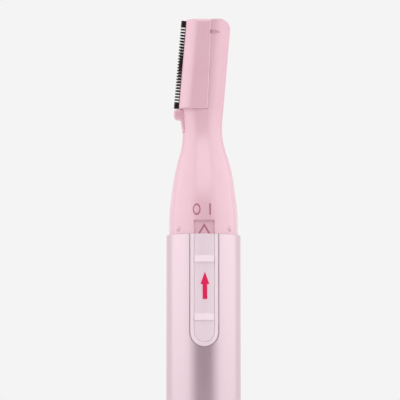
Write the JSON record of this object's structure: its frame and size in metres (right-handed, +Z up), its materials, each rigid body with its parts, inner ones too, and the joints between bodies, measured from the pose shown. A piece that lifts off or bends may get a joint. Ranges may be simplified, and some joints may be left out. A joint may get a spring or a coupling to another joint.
{
  "type": "pen trimmer for facial hair",
  "caption": "Slim battery trimmer for fine facial hair, with a leaning comb-blade head, round metal handle and sliding switch.",
  "frame": {"origin": "centre of the end cap's flat base, on which the trimmer stands", "axes": "+Z up the handle to the head, -Y the side with the switch, -X the side with the comb blade"},
  "size_m": [0.0154, 0.0154, 0.1335],
  "materials": {
    "sleeve_aluminium": "anodised pale pink, satin",
    "pink_plastic": "glossy pink moulding",
    "pearl_plastic": "pearl pink moulding",
    "blade_steel": "dark hardened steel",
    "white_plastic": "natural white moulding",
    "black_plastic": "black moulding",
    "contact_brass": "plated contact strip",
    "bright_steel": "plated steel",
    "copper_wire": "enamelled copper wire",
    "magnet": "sintered ferrite",
    "cell_wrap": "plain cell wrap",
    "seal_rubber": "moulded rubber"
  },
  "bodies": {
    "handle": {"outer_sleeve": "sleeve_aluminium", "chassis_front": "white_plastic", "chassis_back": "white_plastic", "switch_tray": "pearl_plastic", "positive_contact": "contact_brass", "motor_contact": "contact_brass", "negative_strip": "contact_brass", "motor_can": "bright_steel", "motor_end_bell": "black_plastic", "motor_terminals": "contact_brass", "motor_brushes": "contact_brass", "motor_magnets": "magnet", "motor_bearing": "contact_brass"},
    "rotor": {"motor_shaft": "bright_steel", "armature_core": "bright_steel", "armature_windings": "copper_wire", "commutator": "contact_brass", "eccentric": "white_plastic"},
    "switch": {"switch_slider": "pearl_plastic", "bridge_contact": "contact_brass"},
    "cell": {"cell_can": "bright_steel", "cell_label": "cell_wrap", "cell_washer": "white_plastic"},
    "cap": {"end_cap": "pearl_plastic", "end_cap_seal": "seal_rubber", "end_cap_contact": "contact_brass", "cell_spring": "bright_steel"},
    "head": {"head_front_shell": "pink_plastic", "head_rear_shell": "pink_plastic", "front_blade_cover": "pink_plastic", "rear_blade_cover": "pink_plastic", "comb_blade": "blade_steel", "crank_pin": "bright_steel"},
    "crank": {"bell_crank": "white_plastic"},
    "cutter": {"drive_rod": "white_plastic", "cutter_blade": "blade_steel"}
  },
  "joints": [
    {"name": "switch_slide", "type": "slide", "parent": "handle", "child": "switch", "axis": [0, 0, 1], "range_m": [0, 0.0028]},
    {"name": "rotor_spin", "type": "hinge", "parent": "handle", "child": "rotor", "pos_m": [0, 0, 0.068], "axis": [0, 0, 1], "continuous": true},
    {"name": "head_pull", "type": "slide", "parent": "handle", "child": "head", "axis": [0, 0, 1], "range_m": [0, 0.014]},
    {"name": "crank_rock", "type": "hinge", "parent": "head", "child": "crank", "pos_m": [0.0025, 0, 0.09], "axis": [0, 1, 0], "range_deg": [-3.6, 3.6]},
    {"name": "cutter_slide", "type": "slide", "parent": "head", "child": "cutter", "axis": [0.0845, 0, 0.9964], "range_m": [-0.00031, 0.00031]},
    {"name": "cap_pull", "type": "slide", "parent": "handle", "child": "cap", "axis": [0, 0, -1], "range_m": [0, 0.056]},
    {"name": "cell_slide", "type": "slide", "parent": "handle", "child": "cell", "axis": [0, 0, -1], "range_m": [0, 0.056]}
  ],
  "couplings": [
    {"joint": "crank_rock", "follows": "cutter_slide", "rad_per_m": 200},
    {"joint": "cell_slide", "follows": "cap_pull", "ratio": 1}
  ]
}
